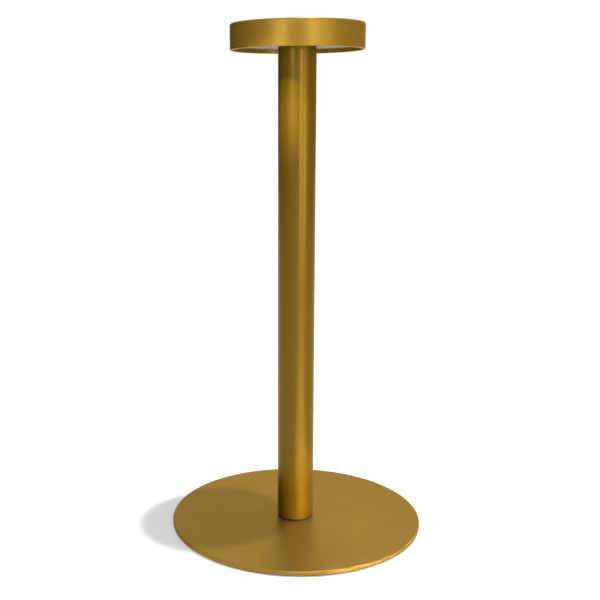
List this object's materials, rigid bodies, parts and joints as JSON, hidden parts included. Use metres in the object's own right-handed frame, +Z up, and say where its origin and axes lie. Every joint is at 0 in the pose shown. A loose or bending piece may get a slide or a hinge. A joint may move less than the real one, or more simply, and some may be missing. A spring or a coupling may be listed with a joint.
{
  "type": "cordless table lamp",
  "caption": "Slim cordless table lamp: round base plate, straight tube stem holding the battery, and a shallow drum head that lights downwards through a recessed opal ring.",
  "frame": {"origin": "centre of the pad's underside, the face that the lamp rests on", "axes": "+Z up along the stem, -Y towards the front, +Y towards the charging port"},
  "size_m": [0.153, 0.153, 0.3004],
  "materials": {
    "gold_lacquer": "satin metallic gold lacquer",
    "gold_silicone": "matt, moulded",
    "pad_rubber": "matt, fine grain",
    "gasket_rubber": "matt",
    "screw_steel": "zinc plated",
    "plain_aluminium": "turned",
    "cell_sleeve": "film sleeve",
    "nickel_strip": "nickel plated",
    "foam": "closed cell foam",
    "red_insulation": "soft",
    "black_insulation": "soft",
    "opal_acrylic": "opal, frosted",
    "white_board": "solder mask",
    "phosphor": "phosphor gel",
    "pin_brass": "plated",
    "green_board": "solder mask",
    "nylon": "natural",
    "black_plastic": "moulded",
    "socket_steel": "pressed, tin plated"
  },
  "bodies": {
    "lamp": {"base_plate": "gold_lacquer", "base_pad": "pad_rubber", "foot_screws": "screw_steel", "foot_gasket": "gasket_rubber", "stem_tube": "gold_lacquer", "foot_plug": "plain_aluminium", "top_plug": "plain_aluminium", "stem_screws": "screw_steel", "battery_cell": "cell_sleeve", "cell_strip": "nickel_strip", "lower_cushion": "foam", "upper_cushion": "foam", "red_lead": "red_insulation", "black_lead": "black_insulation", "head_shell": "gold_lacquer", "carrier_plate": "plain_aluminium", "shell_screws": "screw_steel", "diffuser": "opal_acrylic", "led_board": "white_board", "leds": "phosphor", "led_screws": "screw_steel", "led_pins": "pin_brass", "control_board": "green_board", "board_spacers": "nylon", "board_screws": "screw_steel", "board_chips": "black_plastic", "battery_connector": "nylon", "usb_socket": "socket_steel", "usb_tongue": "black_plastic", "cover_anchor": "gold_silicone", "tact_switch": "black_plastic"},
    "button": {"power_button": "gold_lacquer", "switch_plunger": "black_plastic"},
    "cover": {"port_cover": "gold_silicone"}
  },
  "joints": [
    {"name": "button_press", "type": "slide", "parent": "lamp", "child": "button", "axis": [0, 0, -1], "range_m": [0, 0.0004], "stiffness_N_per_m": 2000, "springref_m": -0.0004},
    {"name": "cover_swing", "type": "hinge", "parent": "lamp", "child": "cover", "pos_m": [-0.00662, 0.03755, 0.29638], "axis": [0, 0, 1], "range_deg": [0, 110]}
  ]
}
